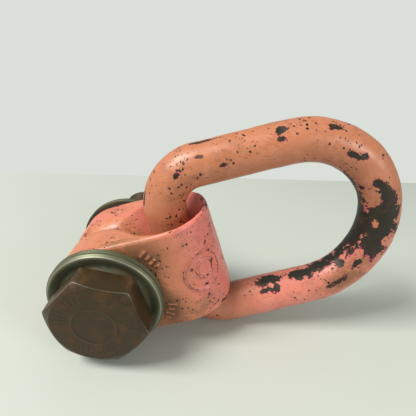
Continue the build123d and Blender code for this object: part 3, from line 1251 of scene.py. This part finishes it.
@dataclass
class HexBolt:
    """Hex bolt: chamfered head with a raised ring and plain marks, shank and rolled thread."""

    axes: RingAxes
    shank_r: float = 17.75
    pitch: float = 4.0
    flats: float = 55.0
    turn: float = math.radians(-29.2)
    head_seat: float = -40.8
    head_front: float = -57.0
    crown_share: float = 0.95
    crown_angle: float = math.radians(30.0)
    thread_start: float = 40.0
    end: float = 93.0
    ring_r: float = 13.2
    mark_r: float = 20.5
    thread_root_r: float = 16.6
    point_chamfer: float = 3.0
    segments: int = 240
    corner_soft: float = 0.7

    def hex_radius(self, angle: np.ndarray) -> np.ndarray:
        """Distance from the axis to the head's side, with softened corners.

        Args:
            angle: Angles round the axis.

        Returns:
            Radii in millimetres.
        """
        flat = self.flats / 2
        to_flat = (angle - self.turn) % (math.pi / 3) - math.pi / 6
        radius = flat / np.cos(to_flat)
        corner = flat / math.cos(math.pi / 6)
        limit = corner - self.corner_soft * 0.5
        return limit - np.logaddexp(0, (limit - radius) / 0.25) * 0.25

    def face_marks(self, r: np.ndarray, angle: np.ndarray) -> np.ndarray:
        """Height of the raised ring and the short radial bars on the head's face.

        Args:
            r: Radii.
            angle: Angles round the axis.

        Returns:
            Heights in millimetres.
        """
        ring = np.clip((0.9 - np.abs(r - self.ring_r)) / 0.6, 0, 1) * 0.35
        step = math.radians(9.0)
        off = ((angle + step / 2) % step - step / 2) * r
        group = np.cos(angle * 3 - 0.6) > -0.25
        bar = np.clip((0.55 - np.abs(off)) / 0.4, 0, 1)
        length = np.clip((2.6 - np.abs(r - self.mark_r)) / 0.6, 0, 1)
        return ring + bar * length * group * 0.3

    def build(self, finish: bpy.types.Material) -> bpy.types.Object:
        """Make the piece.

        Args:
            finish: Its steel.

        Returns:
            The object.
        """
        angle = np.arange(self.segments) * FULL_TURN / self.segments
        side = self.hex_radius(angle)
        flat_r = self.flats / 2 * self.crown_share
        rows: list[tuple[np.ndarray, np.ndarray, float]] = []
        ones = np.ones(self.segments)

        for r in np.concatenate([[0.05], np.arange(1.0, flat_r, 0.55)]):
            worn = 1.0 if r > flat_r - 1.2 else 0.0
            rows.append((r * ones, self.head_front - self.face_marks(r * ones, angle), worn * 0.3))
        for share in (0.0, 0.1, 0.3, 0.5, 0.7, 0.85, 0.95, 1.0):
            r = flat_r + (side - flat_r) * share
            drop = (r - flat_r) * math.tan(self.crown_angle)
            inset = 0.15 if share == 1.0 else 0.0
            rows.append((r - inset, self.head_front + drop, 0.4 + 0.5 * (share > 0.9)))
        brow = self.head_front + (side - flat_r) * math.tan(self.crown_angle)
        for share in (0.03, 0.08, 0.2, 0.35, 0.5, 0.65, 0.8, 0.9, 0.96, 1.0):
            rows.append((side, brow + (self.head_seat - brow) * share, 0.8 * (share < 0.05)))
        for r in np.linspace(25.0, self.shank_r + 0.4, 5):
            rows.append((r * ones, self.head_seat * ones, 0.0))
        for y in np.linspace(self.head_seat + 0.6, self.thread_start - 1.5, 24):
            rows.append((self.shank_r * ones, y * ones, 0.0))
        for y in np.arange(self.thread_start, self.end - 0.1, self.pitch / 11):
            phase = (y / self.pitch - angle / FULL_TURN) % 1.0
            depth = self.thread_depth(phase)
            run_in = min(1.0, (y - self.thread_start) / self.pitch)
            tip = np.maximum(0.0, y - (self.end - self.point_chamfer))
            rows.append((np.minimum(self.shank_r - depth * run_in, self.shank_r - tip), y * ones, 0.0))
        for r in (13.5, 9.0, 4.0, 0.05):
            rows.append((r * ones, self.end * ones, 0.0))

        radius = np.stack([row[0] for row in rows])
        y = np.stack([row[1] for row in rows])
        wear = np.repeat(np.array([row[2] for row in rows]), self.segments)
        points = np.stack([radius * np.cos(angle), y, radius * np.sin(angle)], -1).reshape(-1, 3)
        faces = wrap_faces(len(rows), self.segments, False)
        last = (len(rows) - 1) * self.segments
        faces.append(tuple(range(self.segments - 1, -1, -1)))
        faces.append(tuple(range(last, last + self.segments)))
        corner_r = self.flats / 2 / math.cos(math.pi / 6)
        corner = np.tile(side > corner_r - 1.2, len(rows))
        r, y = np.hypot(points[:, 0], points[:, 2]), points[:, 1]
        wear = np.maximum(wear, 0.75 * corner * (y < self.head_seat) * (r > flat_r))
        hollow = (r < self.thread_root_r) * (y > self.thread_start) * 0.8
        masks = {"wear": wear, "hollow": hollow}
        placing = Placing(Body.BOLT, "bolt", "bolt_steel")
        piece = add_piece("hex_bolt", (self.axes.to_row(points), faces), placing, masks)
        piece.data.materials.append(finish)
        return piece

    def thread_depth(self, phase: np.ndarray) -> np.ndarray:
        """Depth below the crest of a 60 degree thread.

        Args:
            phase: Places along one turn of the thread, from 0 to 1.

        Returns:
            Depths in millimetres.
        """
        full = 0.6134 * self.pitch
        flank = np.abs(phase - 0.5) * 2
        return np.clip((1 - flank - 0.125) / 0.625, 0, 1) * full


# ---------------------------------------------------------------- bush and flanges

@dataclass(frozen=True)
class EarSide:
    """The face that a flange turns to its ear: a ball track and a seal pocket."""

    back: float = 31.7
    track_r: float = 28.8
    track_depth: float = 2.8
    track_half: float = 3.1
    flank_in: float = 0.9
    seal_in_r: float = 32.15
    seal_out_r: float = 34.05
    seal_depth: float = 1.5

    def corners(self) -> list[tuple[float, float, float]]:
        """Outline the face.

        Returns:
            (radius, distance from the mid plane, corner radius), from the sleeve outwards.
        """
        flank = self.track_half - self.flank_in
        flank_y = self.back + self.track_depth - self.flank_in
        pocket = self.back + self.seal_depth
        return [
            (self.track_r - self.track_half, self.back, 0.2),
            (self.track_r - flank, flank_y, 1.0),
            (self.track_r, self.back + self.track_depth, 1.2),
            (self.track_r + flank, flank_y, 1.0),
            (self.track_r + self.track_half, self.back, 0.2),
            (self.seal_in_r, self.back, 0.2),
            (self.seal_in_r, pocket, 0.2),
            (self.seal_out_r, pocket, 0.2),
            (self.seal_out_r, self.back, 0.2),
        ]


@dataclass
class FlangedBush:
    """Bush: sleeve, head flange with a rounded rim, dished face and raised seat."""

    axes: RingAxes
    bore_r: float = 17.81
    sleeve_r: float = 25.3
    flange_r: float = 36.6
    back: float = 31.7
    face: float = 38.5
    seat: float = 40.7
    seat_r: float = 26.6
    segments: int = 192

    def outline(self) -> np.ndarray:
        """The bush's section, with rim grooves, ball track and seal pocket.

        Returns:
            The outline, as (radius, place along the bolt).
        """
        corners = [
            (self.bore_r, self.face - 0.1, 0.0),
            (self.bore_r, -self.seat, 0.5),
            (self.seat_r, -self.seat, 0.5),
            (self.seat_r + 0.6, -self.face + 1.6, 0.8),
            (self.seat_r + 2.5, -self.face + 1.9, 0.8),
            (self.flange_r - 4.2, -self.face + 0.5, 1.2),
            (self.flange_r - 3.0, -self.face, 0.8),
            (self.flange_r - 1.5, -self.face, 0.8),
            (self.flange_r, -self.face + 1.9, 1.2),
            (self.flange_r, -self.face + 3.4, 0.2),
            (self.flange_r - 0.35, -self.face + 3.7, 0.2),
            (self.flange_r, -self.face + 4.0, 0.2),
            (self.flange_r, -self.face + 5.0, 0.2),
            (self.flange_r - 0.3, -self.face + 5.25, 0.2),
            (self.flange_r, -self.face + 5.5, 0.2),
            (self.flange_r, -self.back, 0.5),
            *[(r, -y, corner) for r, y, corner in reversed(EarSide(self.back).corners())],
            (self.sleeve_r, -self.back, 0.0),
            (self.sleeve_r, self.face - 0.1, 0.0),
        ]
        return spread(rounded_line(corners, 4), 3.0)

    def build(self, finish: bpy.types.Material) -> bpy.types.Object:
        """Make the piece.

        Args:
            finish: Its plating.

        Returns:
            The object.
        """
        line = self.outline()
        points, faces = turned(line, self.segments)
        r = np.hypot(points[:, 0], points[:, 2])
        y = points[:, 1]
        rim = np.exp(-((r - self.flange_r + 1.2) ** 2 + (y + self.face) ** 2) / 1.6)
        corner = np.clip(1 - np.abs(r - self.seat_r - 1.8) / 2.6, 0, 1) * (y < -self.face + 3)
        # Painted shade on the faces in the gap to the ear and inside the body.
        gap_shade = (y > -self.back - 0.6) * 1.0
        dish = 0.35 * (r > self.seat_r) * (r < self.flange_r - 2.5) * (y < -self.face + 3)
        masks = {"wear": rim, "hollow": np.clip(corner + gap_shade + dish, 0, 1)}
        placing = Placing(Body.BASE, "bush", "flange_steel")
        piece = add_piece("flanged_bush", (self.axes.to_row(points), faces), placing, masks)
        piece.data.materials.append(finish)
        return piece


@dataclass
class BaseFlange:
    """Pressed-on flange whose flat face sits on the load."""

    axes: RingAxes
    sleeve_r: float = 25.32
    flange_r: float = 36.6
    back: float = 31.7
    face: float = 38.5
    pocket_r: float = 29.9
    pocket_depth: float = 2.4
    segments: int = 192

    def outline(self) -> np.ndarray:
        """The flange's section, with its snap-ring pocket, ball track and seal pocket.

        Returns:
            The outline, as (radius, place along the bolt).
        """
        pocket = self.face - self.pocket_depth
        corners = [
            (self.sleeve_r, self.back, 0.0),
            *EarSide(self.back).corners(),
            (self.flange_r, self.back, 0.5),
            (self.flange_r, self.face - 5.0, 0.2),
            (self.flange_r - 0.3, self.face - 4.7, 0.2),
            (self.flange_r, self.face - 4.4, 0.2),
            (self.flange_r, self.face - 1.9, 1.3),
            (self.flange_r - 2.0, self.face, 1.3),
            (self.pocket_r, self.face, 0.4),
            (self.pocket_r, pocket, 0.2),
            (self.sleeve_r, pocket, 0.0),
        ]
        return spread(rounded_line(corners, 4), 3.0)

    def build(self, finish: bpy.types.Material) -> bpy.types.Object:
        """Make the piece.

        Args:
            finish: Its plating.

        Returns:
            The object.
        """
        points, faces = turned(self.outline(), self.segments)
        r = np.hypot(points[:, 0], points[:, 2])
        y = points[:, 1]
        rim = np.exp(-((r - self.flange_r + 1.0) ** 2 + (y - self.face) ** 2) / 1.6)
        pocket = (r < self.pocket_r + 0.3) * 0.8
        # Painted shade on the face in the gap to the ear.
        gap_shade = (y < self.back + 0.6) * 1.0
        masks = {"wear": rim, "hollow": np.clip(pocket + gap_shade, 0, 1)}
        placing = Placing(Body.BASE, "base_flange", "flange_steel")
        piece = add_piece("base_flange_turned", (self.axes.to_row(points), faces), placing, masks)
        piece.data.materials.append(finish)
        return piece


# ---------------------------------------------------------------- small parts

class SmallPart(Enum):
    """CAD nodes whose own shape is kept and only given a finish."""

    HEAD_BALLS = "head_balls"
    BASE_BALLS = "base_balls"
    HEAD_SEAL = "head_seal"
    BASE_SEAL = "base_seal"
    SNAP_RING = "snap_ring"
    BOLT_RETAINER = "bolt_retainer"


@dataclass(frozen=True)
class SmallParts:
    """The balls, seals and rings inside, and their finishes."""

    ball_steel: PlainFinish = PlainFinish(
        "ball_steel", (0.55, 0.55, 0.55), (0.35, 0.34, 0.32), metallic=1.0, rough=(0.12, 0.25)
    )
    rubber: PlainFinish = PlainFinish(
        "seal_rubber", (0.02, 0.02, 0.02), (0.04, 0.037, 0.03), metallic=0.0, rough=(0.6, 0.8)
    )
    spring_steel: PlainFinish = PlainFinish(
        "spring_steel", (0.12, 0.12, 0.11), (0.05, 0.045, 0.04), metallic=0.8, rough=(0.35, 0.55)
    )

    def dress(self, effects: Effects) -> None:
        """Give each kept CAD node its finish.

        Args:
            effects: The shared shader groups.
        """
        worn_by = {
            self.ball_steel: (SmallPart.HEAD_BALLS, SmallPart.BASE_BALLS),
            self.rubber: (SmallPart.HEAD_SEAL, SmallPart.BASE_SEAL),
            self.spring_steel: (SmallPart.SNAP_RING, SmallPart.BOLT_RETAINER),
        }
        for finish, parts in worn_by.items():
            material = finish.build(effects)
            for part in parts:
                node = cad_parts[part.value]
                node.data.materials.clear()
                node.data.materials.append(material)
                log.info("%s: dressed in %s", part.value, finish.name)


# ---------------------------------------------------------------- studio

@dataclass
class Studio:
    """Pale table top, soft lights and the camera."""

    floor_z: float
    table_colour: Colour = (0.475, 0.505, 0.46)
    table_pale: Colour = (0.55, 0.57, 0.53)
    table_speck: Colour = (0.35, 0.36, 0.33)
    wall_colour: Colour = (0.74, 0.78, 0.73)
    wall_seen: float = 0.95
    wall_glow: float = 0.56
    lens: float = 30.03
    camera_mm: tuple[float, float, float] = (52.6, -237.4, 159.1)
    aim: tuple[float, float, float] = (0.0186, 0.8868, -0.4618)
    roll: float = math.radians(7.5)

    def table(self) -> None:
        """A table top whose far edge runs behind the ring."""
        along = Vector((0.970, 0.243)).normalized()
        middle = Vector((0.0559, 0.2345))
        away = Vector((-along.y, along.x))
        left, right, depth = middle - along * 3, middle + along * 3, away * 4
        corners = [left, right, right - depth, left - depth]
        data = bpy.data.meshes.new("table_top")
        data.from_pydata([(c.x, c.y, self.floor_z) for c in corners], [], [(3, 2, 1, 0)])
        data.update()
        top = bpy.data.objects.new("table_top", data)
        bpy.context.scene.collection.objects.link(top)
        material, sheet, shader = start_material("table_paint")
        place = sheet.place()
        tone = sheet.noise(place, 9.0, 5.0)
        colour = sheet.mix(sheet.math("MULTIPLY", tone, 0.12), self.table_colour, self.table_pale)
        speck = sheet.step(sheet.noise(place, 260.0, 3.0), 0.74, 0.80)
        colour = sheet.mix(sheet.math("MULTIPLY", speck, 0.18), colour, self.table_speck)
        sheet.feed(shader.inputs["Base Color"], colour)
        sheet.feed(shader.inputs["Roughness"], sheet.lerp(tone, 0.42, 0.56))
        data.materials.append(material)

    def camera(self) -> None:
        """The camera, slightly rolled."""
        forward = Vector(self.aim).normalized()
        right = forward.cross(Vector((0, 0, 1))).normalized()
        up = right.cross(forward)
        turned_right = right * math.cos(self.roll) + up * math.sin(self.roll)
        turned_up = up * math.cos(self.roll) - right * math.sin(self.roll)
        pose = Matrix((turned_right, turned_up, -forward)).transposed().to_4x4()
        pose.translation = Vector(self.camera_mm) * MM
        data = bpy.data.cameras.new("camera")
        data.lens = self.lens
        data.sensor_width = 36.0
        data.clip_start = 0.01
        view = bpy.data.objects.new("camera", data)
        view.matrix_world = pose
        bpy.context.scene.collection.objects.link(view)
        bpy.context.scene.camera = view

    def light(self, name: str, place: Sequence[float], size: float, power: float, colour: Colour) -> None:
        """A square soft light aimed at the ring.

        Args:
            name: The light's name.
            place: Where it stands, metres.
            size: Its width, metres.
            power: Its power, watts.
            colour: Its colour.
        """
        data = bpy.data.lights.new(name, "AREA")
        data.size = size
        data.energy = power
        data.color = colour
        lamp = bpy.data.objects.new(name, data)
        lamp.location = place
        to_ring = Vector((0.05, -0.03, 0.02)) - Vector(place)
        lamp.rotation_euler = to_ring.to_track_quat("-Z", "Y").to_euler()
        bpy.context.scene.collection.objects.link(lamp)

    def build(self) -> None:
        """Set up the table, lights, surroundings and camera."""
        self.table()
        self.camera()
        self.light("key", (-1.15, -0.52, 1.50), 0.75, 52.0, (1.0, 0.985, 0.96))
        self.light("side", (0.85, -0.62, 0.42), 0.35, 4.6, (1.0, 0.96, 0.94))
        world = bpy.data.worlds.new("surroundings")
        world.use_nodes = True
        sheet = Sheet(world.node_tree)
        seen, glow = (
            sheet.node("ShaderNodeBackground", None, {"Color": self.wall_colour, "Strength": strength})
            for strength in (self.wall_seen, self.wall_glow)
        )
        ray = sheet.node("ShaderNodeLightPath").outputs["Is Camera Ray"]
        both = sheet.node("ShaderNodeMixShader", None, {0: ray, 1: glow.outputs[0], 2: seen.outputs[0]})
        sheet.feed(world.node_tree.nodes["World Output"].inputs["Surface"], both.outputs[0])
        bpy.context.scene.world = world
        bpy.context.scene.view_settings.view_transform = "Standard"


# ---------------------------------------------------------------- all together

def main() -> None:
    """Build every piece, dress the kept CAD nodes and set up the studio."""
    logging.basicConfig(level=logging.INFO, format="%(message)s")
    ring = RingAxes()
    effects = Effects()
    body_coat = ChippedPaint(
        "body_paint", warm=(0.50, 0.165, 0.080), pink=(0.66, 0.17, 0.135), nicks=0.22, dirt=1.0
    )
    link_coat = ChippedPaint(
        "link_paint", warm=(0.43, 0.148, 0.068), pink=(0.62, 0.185, 0.130), nicks=0.22, dirt=0.9
    )
    plating = PlatedSteel("olive_plating").build(effects)
    StrapBody(ring).build(body_coat.build(effects))
    OvalLink(LinkAxes(ring)).build(link_coat.build(effects))
    HexBolt(ring).build(DarkSteel("bolt_steel").build(effects))
    FlangedBush(ring).build(plating)
    BaseFlange(ring).build(plating)
    SmallParts().dress(effects)
    low, _ = CAD_BOX
    Studio(floor_z=low[2]).build()
    log.info("studio: table, lights, surroundings and camera")


if __name__ == "__main__":
    main()
